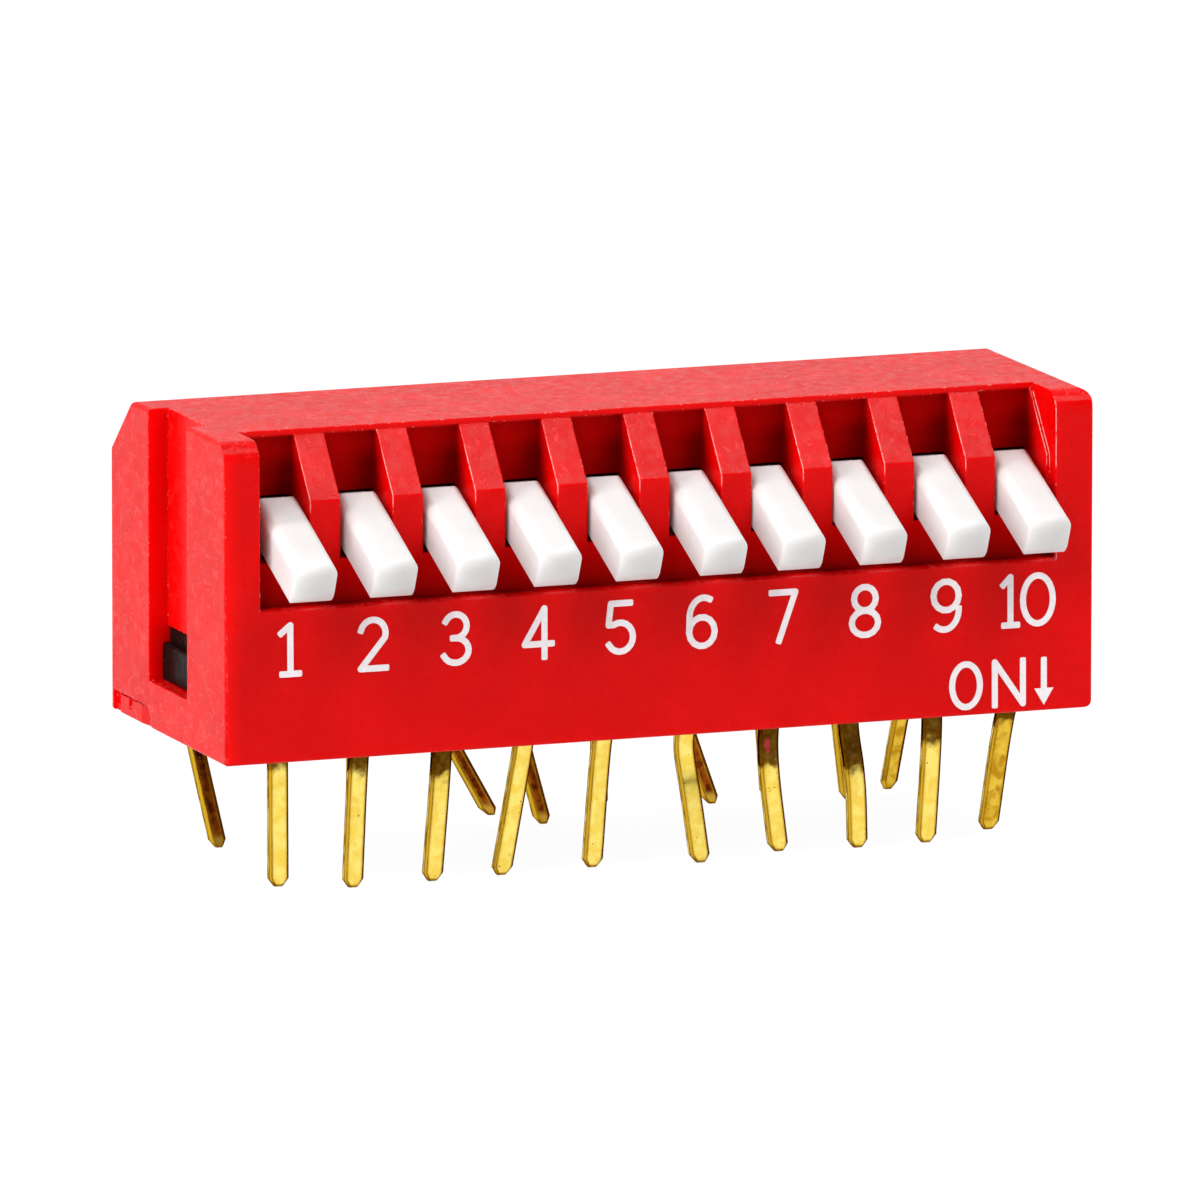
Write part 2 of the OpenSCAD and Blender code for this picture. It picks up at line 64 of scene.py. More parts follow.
LEVERS = sorted(n for n in nodes if n.startswith("lever"))
METAL = sorted(n for n in nodes if "terminal" in n or n.startswith("wiper"))
POSITIONS = len(LEVERS)
PITCH = mounts["front_pin_row"]["dims"]["spacing_x_mm"]


# ---------------------------------------------------------------- shader helpers

BEVEL_SAMPLES = 6
RANGE_KEYS = ("From Min", "From Max", "To Min", "To Max")


class Nodes:
    """A small builder for one material's node tree."""

    def __init__(self, name):
        self.material = bpy.data.materials.new(name)
        self.material.use_nodes = True
        self.tree = self.material.node_tree
        self.tree.nodes.clear()
        self.out = self.add("ShaderNodeOutputMaterial")
        self.shader = self.add("ShaderNodeBsdfPrincipled")
        self.link(self.shader.outputs[0], self.out.inputs["Surface"])
        self.place = self.add("ShaderNodeTexCoord").outputs["Object"]

    def add(self, kind, **settings):
        node = self.tree.nodes.new(kind)
        for key, value in settings.items():
            setattr(node, key, value)
        return node

    def link(self, a, b):
        self.tree.links.new(a, b)

    def feed(self, socket, value):
        if isinstance(value, bpy.types.NodeSocket):
            self.link(value, socket)
        else:
            socket.default_value = value

    def set(self, **values):
        """Feeds sockets of the shader from other nodes."""
        for key, value in values.items():
            self.feed(self.shader.inputs[key.replace("_", " ")], value)

    def fix(self, **values):
        """Gives sockets of the shader a value that is the same all over the surface."""
        for key, value in values.items():
            self.shader.inputs[key.replace("_", " ")].default_value = value

    def stretched(self, x, y, z):
        node = self.add("ShaderNodeMapping")
        self.link(self.place, node.inputs["Vector"])
        node.inputs["Scale"].default_value = (x, y, z)
        return node.outputs[0]

    def noise(self, size_mm, detail=2.0, distortion=0.0, vector=None):
        node = self.add("ShaderNodeTexNoise")
        self.link(vector or self.place, node.inputs["Vector"])
        node.inputs["Scale"].default_value = 1 / (size_mm * MM)
        node.inputs["Detail"].default_value = detail
        node.inputs["Distortion"].default_value = distortion
        return node.outputs["Fac"]

    def math(self, operation, *values):
        node = self.add("ShaderNodeMath", operation=operation)
        for socket, value in zip(node.inputs, values):
            self.feed(socket, value)
        return node.outputs[0]

    def times(self, first, *others):
        for other in others:
            first = self.math("MULTIPLY", first, other)
        return first

    def ramp(self, value, low, high, start=0.0, end=1.0):
        """Goes smoothly from start to end while the value goes from low to high."""
        node = self.add("ShaderNodeMapRange")
        node.interpolation_type = "SMOOTHSTEP"
        self.feed(node.inputs["Value"], value)
        for key, number in zip(RANGE_KEYS, (low, high, start, end)):
            node.inputs[key].default_value = number
        return node.outputs[0]

    def fade(self, place, low_mm, high_mm, start=0.0, end=1.0):
        """A ramp along the object, between two places in mm."""
        return self.ramp(place, low_mm * MM, high_mm * MM, start, end)

    def mix(self, factor, a, b):
        """Mixes two colours, which a Mix node takes at its sockets 6 and 7 and gives at 2."""
        node = self.add("ShaderNodeMix", data_type="RGBA")
        self.feed(node.inputs[0], factor)
        for socket, value in ((node.inputs[6], a), (node.inputs[7], b)):
            self.feed(socket, value if isinstance(value, bpy.types.NodeSocket) else (*value, 1.0))
        return node.outputs[2]

    def bump(self, height, depth_mm, strength=1.0, under=None):
        node = self.add("ShaderNodeBump")
        self.feed(node.inputs["Height"], height)
        node.inputs["Distance"].default_value = depth_mm * MM
        self.feed(node.inputs["Strength"], strength)
        if under is not None:
            self.link(under, node.inputs["Normal"])
        return node.outputs[0]

    def rounded(self, radius_mm):
        """The normal of the surface with its edges rounded off."""
        node = self.add("ShaderNodeBevel", samples=BEVEL_SAMPLES)
        node.inputs["Radius"].default_value = radius_mm * MM
        return node.outputs[0]

    def edges(self, rounded, low, high):
        """Where the rounded normal turns away from the flat one: 1 along sharp edges."""
        flat = self.add("ShaderNodeNewGeometry").outputs["Normal"]
        dot = self.add("ShaderNodeVectorMath", operation="DOT_PRODUCT")
        self.link(rounded, dot.inputs[0])
        self.link(flat, dot.inputs[1])
        return self.ramp(dot.outputs["Value"], low, high, 1.0, 0.0)

    def split(self, vector):
        node = self.add("ShaderNodeSeparateXYZ")
        self.link(vector, node.inputs[0])
        return node.outputs

    def normal(self):
        return self.split(self.add("ShaderNodeTexCoord").outputs["Normal"])

    def position(self):
        return self.split(self.place)


# ---------------------------------------------------------------- red plastic

SMOOTH_RED = ((0.66, 0.0004, 0.0006), (0.72, 0.0008, 0.001))    # front and side walls
GRAINED_RED = ((0.55, 0.0004, 0.0006), (0.63, 0.0008, 0.001))   # top, ends and rib slopes
PAINTED_CORNER_LIGHT = (0.95, 0.0006, 0.0008)     # painted light: the front's left corner brighter, as light that soaks into it
PALE_RED = (0.9, 0.09, 0.09)            # lines of the grain
PAINTED_SHADE_RED = (0.05, 0.0, 0.0)             # painted shade in the depths of the recess
PAINTED_HIGHLIGHT_RED = (1.0, 0.55, 0.53)            # painted highlights along edges
# sheen colours: the red one goes where the recess is painted in shade, in place of white reflections that
# its walls would block
WHITE_SHEEN, RED_SHEEN = (1.0, 1.0, 1.0), (1.0, 0.08, 0.06)

# Where things lie on the cover, in mm: each mask fades from the first value to the second
RECESS_MOUTH_Y = (-4.75, -4.6)
RECESS_END_Y = (-0.6, 0.0)
RECESS_TOP_Z = (9.12, 9.18)
RECESS_HALF_X = (12.36, 12.42)
SLOT_HALF_X = (0.812, 0.83)
SLOT_DEPTH_Y = (-3.9, -2.8)
SLOT_TOP_Z = (8.2, 9.1)
SLOT_FOOT_Z = (5.8, 6.6)
RIB_FACE_Y = (-3.9, -3.6)
RIB_FOOT_Z = (4.2, 7.0)
RIB_KNEE_Z = (7.1, 7.3)
LEDGE_Z = (4.6, 4.8)
LINTEL_Z = (9.12, 9.16)
LAST_RIB_X = (12.4, 12.5)
GROOVE_WALL_X = (12.75, 12.95)
LEFT_CORNER_X = (-13.42, -12.8)

BACK_SHADE = 0.8        # how dark the back of a slot is at its right end
LEFT_SHARE = 0.4        # and how much of that its left end has, where more light comes in
FOOT_SHADE = 0.58       # how dark the ledge under the levers is


def recess_masks(n, place, across):
    """Whether a place is in the recess over the levers, and how much less light reaches it there, for the
    shade painted there and the red tint of its sheen.
    """
    inside = n.times(n.fade(place[1], *RECESS_MOUTH_Y), n.fade(place[1], *RECESS_END_Y, 1.0, 0.0),
                     n.fade(place[2], *RECESS_TOP_Z, 1.0, 0.0), n.fade(across, *RECESS_HALF_X, 1.0, 0.0))
    step = n.math("ADD", n.math("DIVIDE", place[0], PITCH * MM), 0.5)
    walls = [half / PITCH for half in SLOT_HALF_X]
    in_slot = n.ramp(n.math("PINGPONG", step, 0.5), *walls, 1.0, 0.0)
    to_the_right = n.ramp(n.math("FRACT", n.math("ADD", step, 0.5)), 0.22, 0.78, LEFT_SHARE, 1.0)
    back = n.times(n.fade(place[1], *SLOT_DEPTH_Y, 0.0, BACK_SHADE), to_the_right,
                   n.fade(place[2], *SLOT_TOP_Z, 1.0, 0.5), n.fade(place[2], *SLOT_FOOT_Z))
    foot = n.times(n.fade(place[2], *RIB_FOOT_Z, FOOT_SHADE, 0.0),
                   n.fade(place[1], *RIB_FACE_Y, 1.0, 0.0))
    depth = n.times(inside, n.math("MAXIMUM", n.times(in_slot, back), foot))
    # where the sheen is tinted red, as painted shade on the reflections in the recess
    shaded_sheen = n.math("MAXIMUM", n.times(inside, in_slot), n.ramp(depth, 0.05, 0.4))
    return shaded_sheen, depth


def worn_edges(n, place, across, shade, soft):
    """Painted highlights on edges: broken lines along the left and level edges in the recess, dots on the
    others.
    """
    turned = n.split(soft)
    # the painted highlights keep to edges that don't turn to the right, away from the lights at the left
    at_ribs = n.times(n.fade(across, *LAST_RIB_X, 1.0, 0.0), n.fade(place[2], *LINTEL_Z, 1.0, 0.0),
                      n.ramp(turned[0], 0.1, 0.3, 1.0, 0.0))
    heights = n.math("MAXIMUM", n.fade(place[2], *RIB_KNEE_Z), n.fade(place[2], *LEDGE_Z, 1.0, 0.0))
    broken = n.noise(0.11, 1.0)
    dashes = n.times(n.times(at_ribs, heights), n.ramp(broken, 0.3, 0.48, 0.2, 1.0))
    dots = n.ramp(broken, 0.62, 0.68, 0.0, 0.7)
    highlight_lines = n.times(n.edges(soft, 0.88, 0.97), n.math("MAXIMUM", dashes, dots))
    # the painted highlights fade out where the recess is painted in shade
    return n.times(highlight_lines, n.ramp(shade, 0.05, 0.3, 0.9, 0.0))


def red_plastic():
    """Moulded satin red: fine worm-like grain on the top, ends and rib slopes, smooth elsewhere; with
    painted shade in the recess, painted highlights along edges and painted light at the front's left
    corner.
    """
    n = Nodes("red_plastic")
    facing, place = n.normal(), n.position()
    across = n.math("ABSOLUTE", place[0])
    side_wall = n.times(n.ramp(n.math("ABSOLUTE", facing[0]), 0.8, 0.95),
                        n.fade(across, *GROOVE_WALL_X, 1.0, 0.0))
    upright = n.ramp(n.math("ABSOLUTE", facing[1]), 0.86, 0.97)
    grain = n.ramp(n.math("MAXIMUM", side_wall, upright), 0.0, 1.0, 1.0, 0.1)
    shaded_sheen, shade = recess_masks(n, place, across)

    drawn = n.stretched(1.0, 0.45, 1.0)
    contours = n.math("PINGPONG", n.times(n.noise(0.25, 1.0, 0.7, drawn), 2.6), 0.5)
    worms = n.ramp(contours, 0.02, 0.16)
    pale = n.times(n.math("SUBTRACT", 1.0, worms), n.times(grain, 0.24))
    smooth = n.mix(n.ramp(n.noise(2.2, 3.0), 0.35, 0.7), *SMOOTH_RED)
    grained = n.mix(n.ramp(n.noise(1.4, 3.0), 0.35, 0.7), *GRAINED_RED)
    colour = n.mix(grain, smooth, grained)
    # painted light at the front's left corner
    colour = n.mix(n.times(n.fade(place[0], *LEFT_CORNER_X, 0.45, 0.0), upright), colour, PAINTED_CORNER_LIGHT)
    colour = n.mix(pale, colour, PALE_RED)
    # painted shade: the recess darkened, most at the backs of the slots and the feet of the ribs
    colour = n.mix(shade, colour, PAINTED_SHADE_RED)
    soft = n.rounded(0.06)
    # painted highlights: pale lines and dots along the edges
    colour = n.mix(worn_edges(n, place, across, shade, soft), colour, PAINTED_HIGHLIGHT_RED)

    n.set(Base_Color=colour)
    # painted shade on the sheen: red in the recess
    n.set(Specular_Tint=n.mix(shaded_sheen, WHITE_SHEEN, RED_SHEEN))
    n.set(Roughness=n.ramp(n.noise(0.35, 3.0), 0.3, 0.7, 0.26, 0.4))
    fine = n.bump(n.noise(0.12, 1.0, 0.0, drawn), 0.003, n.times(grain, 0.3), soft)
    n.set(Normal=n.bump(worms, 0.006, grain, fine))
    n.fix(Specular_IOR_Level=0.08, IOR=1.5)
    n.fix(Subsurface_Weight=0.5, Subsurface_Radius=(1.0, 0.12, 0.1), Subsurface_Scale=0.4 * MM)
    return n.material


# ---------------------------------------------------------------- black and white plastic

def black_plastic():
    """Moulded black with a polish that is a little wavy."""
    n = Nodes("black_plastic")
    dust = n.ramp(n.noise(0.12, 2.0), 0.62, 0.75)
    n.set(Base_Color=n.mix(dust, (0.005, 0.0035, 0.003), (0.02, 0.015, 0.012)))
    n.set(Roughness=n.ramp(n.noise(0.5, 2.0), 0.3, 0.7, 0.18, 0.34))
    n.set(Normal=n.bump(n.noise(0.6, 2.0), 0.02, 0.5, n.rounded(0.06)))
    n.fix(Specular_IOR_Level=0.02)
    return n.material


def white_plastic():
    """Satin white lever plastic, translucent enough to soften its edges, with a fine grain."""
    n = Nodes("white_plastic")
    tone = n.ramp(n.noise(1.1, 2.0), 0.3, 0.7)
    n.set(Base_Color=n.mix(tone, (0.625, 0.615, 0.607), (0.65, 0.645, 0.64)))
    n.set(Roughness=n.ramp(n.noise(0.25, 2.0), 0.3, 0.7, 0.38, 0.5))
    n.set(Normal=n.bump(n.noise(0.1, 2.0), 0.006, 0.5, n.rounded(0.16)))
    n.fix(Subsurface_Weight=0.7, Subsurface_Radius=(1.0, 0.94, 0.92), Subsurface_Scale=0.9 * MM)
    n.fix(Specular_IOR_Level=0.3)
    return n.material


# ---------------------------------------------------------------- gold plating

GILT = ((0.98, 0.78, 0.18), (0.92, 0.65, 0.095))        # bright faces
SHADED_GILT = ((0.8, 0.52, 0.05), (0.5, 0.25, 0.01))           # painted shade on faces that see less light
RED_REFLECTION_GILT = ((0.34, 0.08, 0.006), (0.11, 0.012, 0.002))     # painted reflection of the red cover on rear faces
SIDE_GILT = ((0.42, 0.28, 0.08), (0.8, 0.66, 0.32))     # sheared sides, streaked
EDGE_SHADE_GILT = (0.66, 0.38, 0.02)                          # painted dark reflection along a face's edges, and on left bevels
RIGHT_SHADE_GILT = (0.2, 0.09, 0.006)                          # painted dark reflection on right bevels, darker than on the left
OCHRE = (0.62, 0.36, 0.05)                              # tips of the pins whose faces carry the painted reflection of the red cover
SPECK = (0.42, 0.22, 0.02)
SHADE_BROWN = (0.1, 0.033, 0.0)                               # painted shade and dark reflections: along corners, on ends and down the roots
SMEAR_RED = (0.7, 0.02, 0.08)
SMEAR_HALF = (0.13, 0.26)                               # half width and height of the smear, mm

# How far a surface's normal turns to the side on a pin's bevels and sides, and up or down at its ends
BEVEL_TURN = (0.4, 0.5)
RIGHT_TURN = (0.35, 0.5)
SIDE_TURN = (0.84, 0.94)
END_TURN = (0.28, 0.55)


def root_mask(n, place, reach_mm):
    """The painted shade at the root of a pin, wavy at its lower end, which is reach_mm below the cover.
    """
    height = n.math("ADD", place[2], n.times(n.noise(0.3, 2.0), 0.7 * MM))
    root = n.ramp(height, -reach_mm * MM, (0.35 - reach_mm) * MM)
    return n.times(root, n.ramp(n.noise(0.2, 3.0), 0.3, 0.7, 0.92, 1.0))


def smear_mask(n, place, middle):
    """A small mottled smear around a place in x and z, mm."""
    squares = []
    for axis, centre, half in zip((0, 2), middle, SMEAR_HALF):
        away = n.math("DIVIDE", n.math("SUBTRACT", place[axis], centre * MM), half * MM)
        squares.append(n.math("POWER", n.math("ABSOLUTE", away), 2.0))
    distance = n.math("SQRT", n.math("ADD", *squares))
    spot = n.ramp(n.math("ADD", distance, n.noise(0.12, 2.0)), 0.95, 1.5, 1.0, 0.0)
    return n.times(spot, n.ramp(n.noise(0.07, 2.0), 0.35, 0.6, 0.25, 0.8))


def gold_plate(face_colours=GILT, root_shade_mm=0.0, smear=None, tip_z=None):
    """Gold plating on stamped strip, with painted dark reflections along the corners and bevels, painted
    shade on the ends and, on some, down the root.
    """
    n = Nodes("gold_plate")
    facing, place = n.normal(), n.position()
    lean = n.math("ABSOLUTE", facing[0])
    along = n.stretched(1.0, 1.0, 0.18)
    streaks = n.noise(0.1, 3.0, 0.4, along)
    specks = n.ramp(n.noise(0.12, 2.0), 0.7, 0.76)

    face = n.mix(n.ramp(n.noise(0.35, 3.0, 0.5), 0.36, 0.64), *face_colours)
    if tip_z is not None:
        # the painted red reflection gives way to ochre near the tip
        face = n.mix(n.ramp(place[2], tip_z + 0.2 * MM, tip_z + 0.45 * MM, 1.0, 0.0), face, OCHRE)
    face = n.mix(specks, face, SPECK)
    # painted dark reflection: a face darker along its edges
    face = n.mix(n.edges(n.rounded(0.14), 0.95, 0.9995), face, EDGE_SHADE_GILT)
    # painted dark reflection: the bevels darker, the right ones most
    bevel = n.mix(n.ramp(facing[0], *RIGHT_TURN), EDGE_SHADE_GILT, RIGHT_SHADE_GILT)
    side = n.mix(n.ramp(streaks, 0.38, 0.62), *SIDE_GILT)
    body = n.mix(n.ramp(lean, *BEVEL_TURN), face, bevel)
    body = n.mix(n.ramp(lean, *SIDE_TURN), body, side)

    # painted dark reflection: brown along the corners, broken up
    corners = n.edges(n.rounded(0.075), 0.955, 0.997)
    broken = n.ramp(n.noise(0.14, 2.0, 0.0, along), 0.4, 0.62, 1.0, 0.6)
    body = n.mix(n.times(corners, broken), body, SHADE_BROWN)
    # painted shade: brown on ends that turn up or down
    body = n.mix(n.ramp(n.math("ABSOLUTE", facing[2]), *END_TURN, 0.0, 0.6), body, SHADE_BROWN)
    if root_shade_mm:
        # painted shade down the root
        body = n.mix(root_mask(n, place, root_shade_mm), body, SHADE_BROWN)
    if smear:
        body = n.mix(smear_mask(n, place, smear), body, SMEAR_RED)

    n.set(Base_Color=body, Specular_Tint=body)
    n.set(Roughness=n.ramp(streaks, 0.25, 0.75, 0.16, 0.3))
    dents = n.bump(n.noise(0.3, 3.0, 0.5), 0.005, 0.5)
    n.set(Normal=n.bump(specks, -0.008, 0.5, dents))
    n.fix(Metallic=1.0)
    return n.material


# ---------------------------------------------------------------- ink and floor

def ink(name, low, high):
    """Pad-printed white ink, thin enough for the red to tint it."""
    n = Nodes(name)
    n.set(Base_Color=n.mix(n.ramp(n.noise(0.16, 3.0), 0.3, 0.7), low, high))
    n.set(Roughness=n.ramp(n.noise(0.2, 2.0), 0.3, 0.7, 0.4, 0.6))
    n.set(Normal=n.bump(n.noise(0.08, 2.0), 0.004, 0.5))
    n.fix(Specular_IOR_Level=0.3)
    return n.material


def floor_paint():
    """A floor that is pale by its own glow, so that only a faint shadow shows on it."""
    n = Nodes("floor_paint")
    n.set(Base_Color=n.mix(n.noise(40.0, 3.0), (0.07, 0.07, 0.07), (0.08, 0.08, 0.08)))
    n.fix(Roughness=0.8, Specular_IOR_Level=0.1)
    n.fix(Emission_Color=(1, 1, 1, 1), Emission_Strength=0.95)
    return n.material


# ---------------------------------------------------------------- finish of the CAD pieces

WELD = 1e-4             # points nearer than this are joined, mm
SHARP_DEGREES = 28      # metal edges over this stay crisp

# Painted shade down the roots of the front pins, mm below the cover, the smear, and the pins whose faces
# are painted in shade or with the red cover's reflection
ROOT_SHADES = {1: 0.15, 2: 0.4, 3: 0.7, 7: 1.05, 8: 1.4, 9: 0.7, 10: 0.35}
SMEAR = {7: (3.63, -0.62)}
FACES = {"front_terminal_10": SHADED_GILT, "rear_terminal_09": SHADED_GILT, "rear_terminal_10": SHADED_GILT}
FACES.update({f"rear_terminal_{position:02d}": RED_REFLECTION_GILT for position in (1, 4, 5, 7)})


def paint(piece, *materials):
    piece.data.materials.clear()
    for material in materials:
        piece.data.materials.append(material)


def smooth_over(piece, sharp_degrees=None):
    """Smooths a CAD piece with modifiers, which leave its own mesh as it is."""
    weld = piece.modifiers.new("Weld", "WELD")
    weld.merge_threshold = WELD * MM
    if sharp_degrees:
        split = piece.modifiers.new("Split", "EDGE_SPLIT")
        split.split_angle = radians(sharp_degrees)
        split.use_edge_sharp = False
    normals = piece.modifiers.new("Normals", "WEIGHTED_NORMAL")
    normals.mode = "FACE_AREA"
    normals.keep_sharp = False


def finish_pieces():
    """Gives every CAD piece its material, and its own one where a pin has painted shade down its root or
    on its faces, or the cover's painted reflection on its faces.
    """
    paint(nodes["cover"], red_plastic())
    paint(nodes["base"], black_plastic())
    white, gilt = white_plastic(), gold_plate()
    for name in LEVERS:
        paint(nodes[name], white)
        smooth_over(nodes[name])
    for name in METAL:
        position = int(name[-2:])
        # painted shade down the root, on some front pins
        root_shade = ROOT_SHADES.get(position, 0.0) if name.startswith("front") else 0.0
        if root_shade or name in FACES:
            colours = FACES.get(name, GILT)
            tip_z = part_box(name)[0][2] if colours is RED_REFLECTION_GILT else None
            paint(nodes[name], gold_plate(colours, root_shade, root_shade and SMEAR.get(position), tip_z))
        else:
            paint(nodes[name], gilt)
        smooth_over(nodes[name], SHARP_DEGREES)


# ---------------------------------------------------------------- print

STROKE = 0.187          # width of the printed lines, mm
RIM = 0.045             # bright border of each line, mm
INK = 0.008             # thickness of the ink, mm
SUNK = 0.99             # share of the ink's thickness that its skirt goes down
VIEWER_Y = -0.05        # a place well before the cover, m
FIGURE_Z = (2.5, 4.11)  # foot and top of the numbers
TEN = ((-0.52, 0.8), (0.34, 1.0))   # how far the 1 and the 0 of 10 stand off its middle, and their spread
WORD_Z = (0.165, 1.62)  # foot and top of the word
O_X = (8.985, 10.045)   # sides of its two letters
N_X = (10.325, 11.395)
ARROW_X = 11.96         # middle of the arrow
STEM_Z = (0.66, 1.5)    # foot and top of its stem
HEAD_Z = (0.17, 0.67)   # point and shoulders of its head
HEAD_HALF = 0.3


def arc(cx, cy, rx, ry, start, end, steps=14):
    """Points on an ellipse, in degrees counter-clockwise from the right."""
    turn = [radians(start + (end - start) * k / steps) for k in range(steps + 1)]
    return [(cx + rx * cos(a), cy + ry * sin(a)) for a in turn]


# Each figure is drawn by centre lines in a box one unit high, x from its own middle
FIGURES = {
    "1": [[(-0.2, 0.84), (0.0, 1.0), (0.0, 0.0)], [(-0.175, 0.0), (0.185, 0.0)]],
    "2": [arc(0, 0.72, 0.27, 0.28, 165, -20) + [(-0.27, 0.0), (0.28, 0.0)]],
    "3": [arc(0, 0.755, 0.24, 0.245, 155, -90), arc(0, 0.255, 0.28, 0.255, 90, -155),
          [(-0.06, 0.51), (0.0, 0.51)]],
    "4": [[(0.14, 0.0), (0.14, 1.0), (-0.29, 0.27), (0.3, 0.27)]],
    "5": [[(0.22, 1.0), (-0.2, 1.0), (-0.25, 0.56)] + arc(0, 0.3, 0.28, 0.3, 120, -150)],
    "6": [arc(0.04, 0.6, 0.31, 0.4, 65, 180) + arc(0, 0.3, 0.28, 0.3, 180, 540)],
    "7": [[(-0.26, 1.0), (0.26, 1.0), (-0.1, 0.0)]],
    "8": [arc(0, 0.755, 0.24, 0.245, 0, 360), arc(0, 0.255, 0.29, 0.255, 0, 360)],
    "9": [arc(0, 0.7, 0.28, 0.3, 0, 360), arc(-0.04, 0.42, 0.32, 0.42, 0, -120)],
    "0": [arc(0, 0.5, 0.33, 0.5, 0, 360, 28)],
}

# The end of a stroke in half widths, ahead and to the side: round in a corner, squarish where it is free
ROUND_CAP = [(cos(pi * k / 8), sin(pi * k / 8)) for k in range(4, -5, -1)]
SQUARE_CAP = [(0.0, 1.0), (0.55, 1.0), (0.87, 0.87), (1.0, 0.55),
              (1.0, -0.55), (0.87, -0.87), (0.55, -1.0), (0.0, -1.0)]


def ribbon(points, half):
    """The outlines of a line's stretches, with round corners and squarish ends."""
    outlines = []
    first, last = Vector(points[0]), Vector(points[-1])
    closed = (first - last).length < 1e-6
    for a, b in zip(points, points[1:]):
        a, b = Vector(a), Vector(b)
        if (b - a).length < 1e-6:
            continue
        turn = (b - a).angle_signed(Vector((1, 0)))
        ahead = Vector((cos(turn), sin(turn)))
        side = Vector((-ahead.y, ahead.x))
        loop = []
        for end, sign, free in ((b, 1, b == last and not closed), (a, -1, a == first and not closed)):
            cap = SQUARE_CAP if free else ROUND_CAP
            loop += [end + half * sign * (u * ahead - v * side) for u, v in cap]
        outlines.append(loop)
    return outlines


def surface_y(piece, x, z):
    """Where the piece's front lies at that place, seen from the front."""
    hit, spot, *_ = piece.ray_cast(Vector((x, VIEWER_Y, z)), Vector((0, 1, 0)))
    if not hit:
        raise RuntimeError("the print runs off the cover")
    return spot.y


def printed(name, strokes, inks, solid=()):
    """Lays strokes, in mm on the cover's front, down as a thin skin of ink with a bright rim."""
    outer, inner = [], []
    for points in strokes:
        outer += ribbon(points, STROKE / 2)
        inner += ribbon(points, STROKE / 2 - RIM)
    for points in solid:
        outer.append([Vector(p) for p in points])
    verts, faces = [], []
    for loop in outer + inner:
        faces.append(list(range(len(verts), len(verts) + len(loop))))
        verts += loop
    flat, _, triangles, _, _, origin = delaunay_2d_cdt(verts, [], faces, 0, 1e-5)

    bm = bmesh.new()
    top = []
    for p in flat:
        x, z = p.x * MM, p.y * MM
        top.append(bm.verts.new((x, surface_y(nodes["cover"], x, z) - INK * MM, z)))
    made = []
    for triangle, loops in zip(triangles, origin):
        if not loops:
            continue
        face = bm.faces.new([top[k] for k in triangle])
        face.material_index = 0 if any(k >= len(outer) for k in loops) else 1
        made.append(face)
    bmesh.ops.delete(bm, geom=[v for v in bm.verts if not v.link_faces], context="VERTS")
    bm.normal_update()
    if sum(f.normal.y * f.calc_area() for f in made) > 0:
        bmesh.ops.reverse_faces(bm, faces=made)
    below = {}
    for edge in [e for e in bm.edges if e.is_boundary]:
        for v in edge.verts:
            if v not in below:
                below[v] = bm.verts.new(v.co)
                below[v].co.y += INK * MM * SUNK
        a, b = edge.verts
        skirt = bm.faces.new((a, b, below[b], below[a]))
        skirt.material_index = 1
    bmesh.ops.recalc_face_normals(bm, faces=bm.faces[:])

    mesh = bpy.data.meshes.new(name)
    bm.to_mesh(mesh)
    bm.free()
    piece = bpy.data.objects.new(name, mesh)
    bpy.context.scene.collection.objects.link(piece)
    paint(piece, *inks)
    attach(piece, HOUSING)


def figure(text, centre, spread=1.0):
    """The strokes of one figure, between the heights of the numbers."""
    low, high = FIGURE_Z[0] + STROKE / 2, FIGURE_Z[1] - STROKE / 2
    tall = high - low
    return [[(centre + x * tall * spread, low + y * tall) for x, y in stroke] for stroke in FIGURES[text]]


def print_front():
    """The numbers under the levers, and ON with its arrow at the lower right."""
    inks = (ink("ink_body", (0.8, 0.73, 0.75), (0.87, 0.81, 0.83)),
            ink("ink_rim", (0.95, 0.93, 0.93), (0.97, 0.96, 0.96)))
    for k in range(1, POSITIONS + 1):
        middle = (k - (POSITIONS + 1) / 2) * PITCH
        text = str(k)
        if len(text) == 1:
            strokes = figure(text, middle)
        else:
            strokes = [stroke for digit, (off, spread) in zip(text, TEN)
                       for stroke in figure(digit, middle + off, spread)]
        printed(f"number_{k:02d}", strokes, inks)

    half = STROKE / 2
    low, high = WORD_Z[0] + half, WORD_Z[1] - half
    ring = arc(sum(O_X) / 2, (low + high) / 2, (O_X[1] - O_X[0]) / 2 - half, (high - low) / 2, 0, 360, 28)
    printed("letter_o", [ring], inks)
    left, right = N_X[0] + half, N_X[1] - half
    printed("letter_n", [[(left, low), (left, high), (right, low), (right, high)]], inks)
    point, shoulders = HEAD_Z
    head = [(ARROW_X, point), (ARROW_X + HEAD_HALF, shoulders), (ARROW_X - HEAD_HALF, shoulders)]
    printed("arrow", [[(ARROW_X, STEM_Z[1]), (ARROW_X, STEM_Z[0])]], inks, [head])


# ---------------------------------------------------------------- floor, light and camera

FLOOR_RADIUS = 3.0      # m

# Each light: its place and what it is aimed at, its width and height, all in m, and its watts
LIGHTS = {
    "top_light": ((0.17, -0.18, 0.42), (0, 0, 0), 0.2, 0.2, 1.35),
    "key_light": ((-0.34, -0.27, 0.33), (0, 0, 0.005), 0.25, 0.25, 1.5),
    "side_light": ((-0.42, -0.02, 0.28), (0, 0, 0.005), 0.08, 0.22, 1.6),
}

# The camera, as it stood for the photograph: a long lens above the object and to its left
AZIMUTH, ELEVATION, ROLL = -20.778, 10.160, 0.055
DISTANCE = 634.6                # mm, from the place that it turns about
TURNS_ABOUT = (-0.025, 0.15, 4.7)
MIDDLE = (0.0513, -1.503)       # the picture's middle, right of that place and above it, mm
SENSOR, LENS = 36.0, 652.25


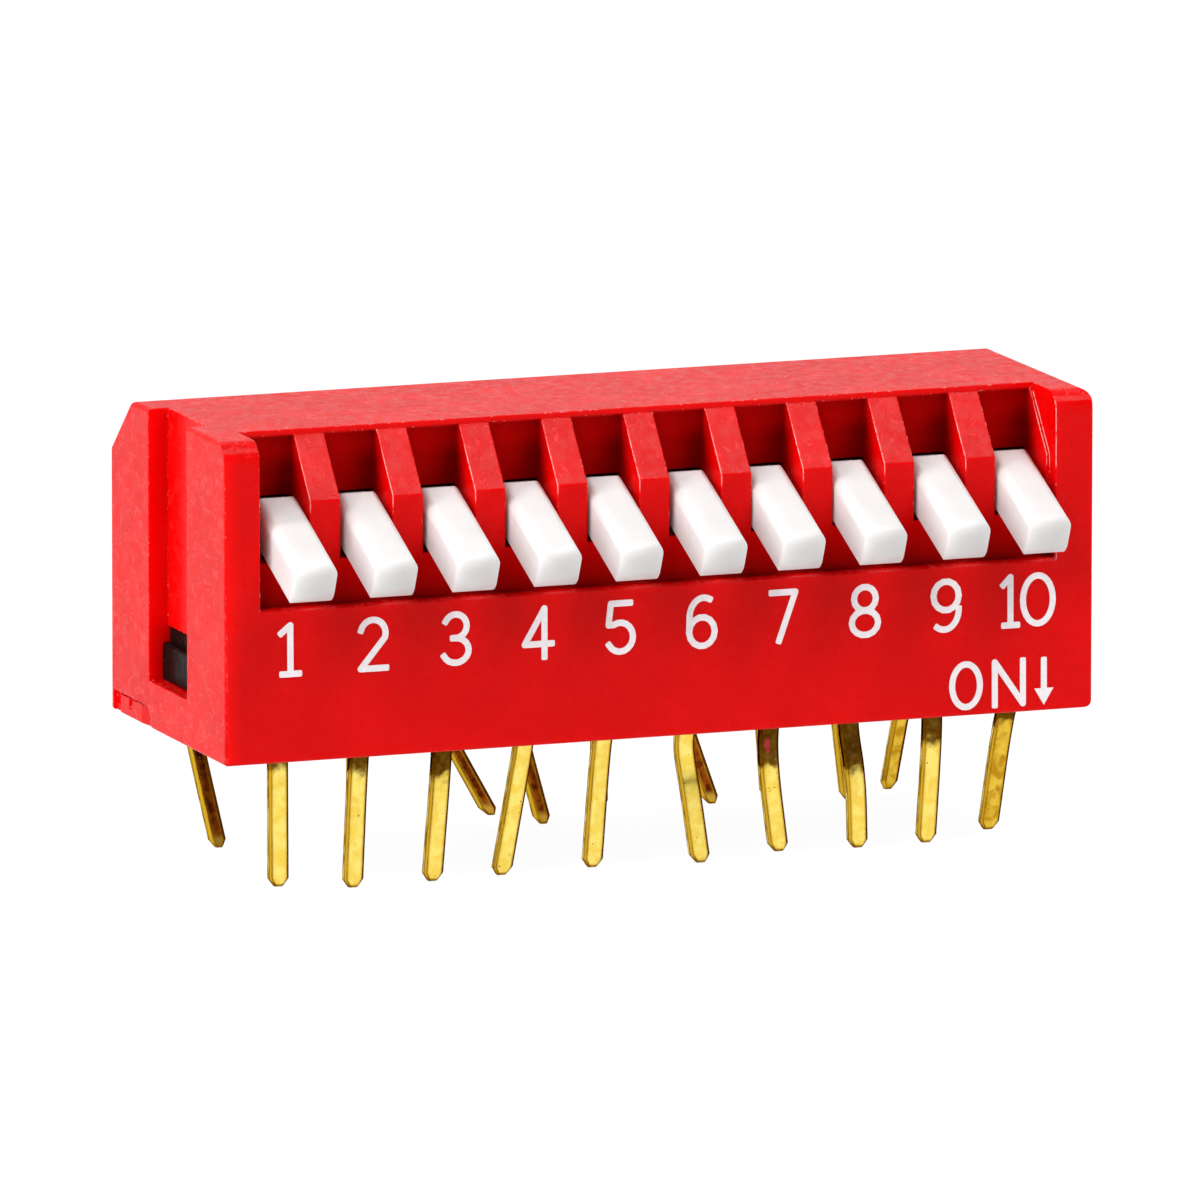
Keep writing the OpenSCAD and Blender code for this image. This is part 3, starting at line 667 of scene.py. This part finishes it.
def floor():
    low_z = cad_box[0][2]
    mesh = bpy.data.meshes.new("floor")
    bm = bmesh.new()
    bmesh.ops.create_circle(bm, cap_ends=True, segments=96, radius=FLOOR_RADIUS,
                            matrix=Matrix.Translation((0, 0, low_z)))
    bm.to_mesh(mesh)
    bm.free()
    piece = bpy.data.objects.new("floor", mesh)
    bpy.context.scene.collection.objects.link(piece)
    paint(piece, floor_paint())


def softbox(name, place, aim, width, height, watts):
    data = bpy.data.lights.new(name, "AREA")
    data.shape, data.size, data.size_y = "RECTANGLE", width, height
    data.energy = watts
    lamp = bpy.data.objects.new(name, data)
    lamp.location = place
    lamp.rotation_euler = (Vector(aim) - Vector(place)).to_track_quat("-Z", "Y").to_euler()
    bpy.context.scene.collection.objects.link(lamp)


def surroundings():
    """A studio that is pale behind the object and low down, and dim above and around the camera."""
    world = bpy.data.worlds.new("studio")
    bpy.context.scene.world = world
    world.use_nodes = True
    tree = world.node_tree
    tree.nodes.clear()
    out = tree.nodes.new("ShaderNodeOutputWorld")
    back = tree.nodes.new("ShaderNodeBackground")
    place = tree.nodes.new("ShaderNodeTexCoord")
    split = tree.nodes.new("ShaderNodeSeparateXYZ")
    brighter = tree.nodes.new("ShaderNodeMath")
    brighter.operation = "MAXIMUM"
    tree.links.new(place.outputs["Generated"], split.inputs[0])
    # Brighter with y towards the back, and with a bright band low in z
    for socket, axis, numbers in ((0, 1, (-0.5, 0.6, 0.05, 0.75)), (1, 2, (0.1, 0.3, 0.85, 0.0))):
        span = tree.nodes.new("ShaderNodeMapRange")
        span.interpolation_type = "SMOOTHSTEP"
        for key, number in zip(RANGE_KEYS, numbers):
            span.inputs[key].default_value = number
        tree.links.new(split.outputs[axis], span.inputs["Value"])
        tree.links.new(span.outputs[0], brighter.inputs[socket])
    tree.links.new(brighter.outputs[0], back.inputs["Strength"])
    tree.links.new(back.outputs[0], out.inputs[0])
    back.inputs["Color"].default_value = (1, 1, 1, 1)


def camera():
    azimuth, elevation, roll = radians(AZIMUTH), radians(ELEVATION), radians(ROLL)
    toward = Vector((sin(azimuth) * cos(elevation), -cos(azimuth) * cos(elevation), sin(elevation)))
    right = (-toward).cross(Vector((0, 0, 1))).normalized()
    up = right.cross(-toward)
    right, up = cos(roll) * right + sin(roll) * up, cos(roll) * up - sin(roll) * right
    centre = Vector(TURNS_ABOUT)
    place = centre + toward * DISTANCE
    z = (place - (centre + MIDDLE[0] * right + MIDDLE[1] * up)).normalized()
    x = up.cross(z).normalized()
    y = z.cross(x)
    data = bpy.data.cameras.new("camera")
    data.sensor_width, data.lens = SENSOR, LENS
    data.clip_start, data.clip_end = 0.01, 20.0
    lens = bpy.data.objects.new("camera", data)
    lens.matrix_world = Matrix.Translation(place * MM) @ Matrix((x, y, z)).transposed().to_4x4()
    bpy.context.scene.collection.objects.link(lens)
    bpy.context.scene.camera = lens


finish_pieces()
print_front()
floor()
surroundings()
for light_name, light in LIGHTS.items():
    softbox(light_name, *light)
camera()
bpy.context.scene.view_settings.view_transform = "Standard"
